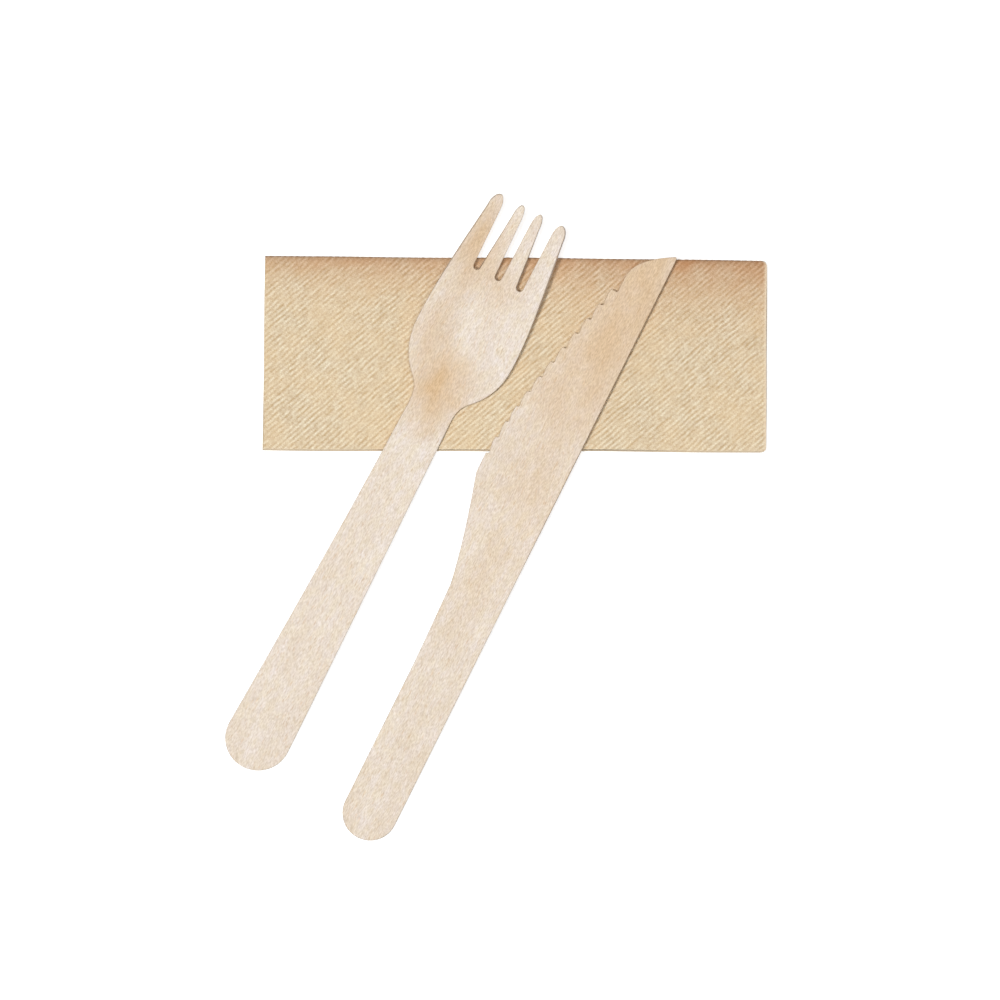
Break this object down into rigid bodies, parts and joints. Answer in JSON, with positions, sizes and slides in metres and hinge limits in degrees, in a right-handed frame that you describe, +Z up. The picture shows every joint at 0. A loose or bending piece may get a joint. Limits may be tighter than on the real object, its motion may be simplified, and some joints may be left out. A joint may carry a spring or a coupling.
{
  "type": "cutlery set",
  "caption": "Disposable wooden fork and serrated wooden knife laid side by side on a folded embossed paper napkin.",
  "frame": {"origin": "on the table under the middle of the whole set's box", "axes": "+X to the right of the picture along the napkin's long side, +Y up the picture towards the fork's tines, +Z up from the table"},
  "size_m": [0.1354, 0.1612, 0.0115],
  "materials": {
    "birch_fork": "unfinished, smooth sanded",
    "birch_knife": "unfinished, smooth sanded",
    "kraft_tissue": "unbleached, finely embossed"
  },
  "bodies": {
    "root": {"fork": "birch_fork", "knife": "birch_knife", "napkin": "kraft_tissue"}
  },
  "joints": []
}
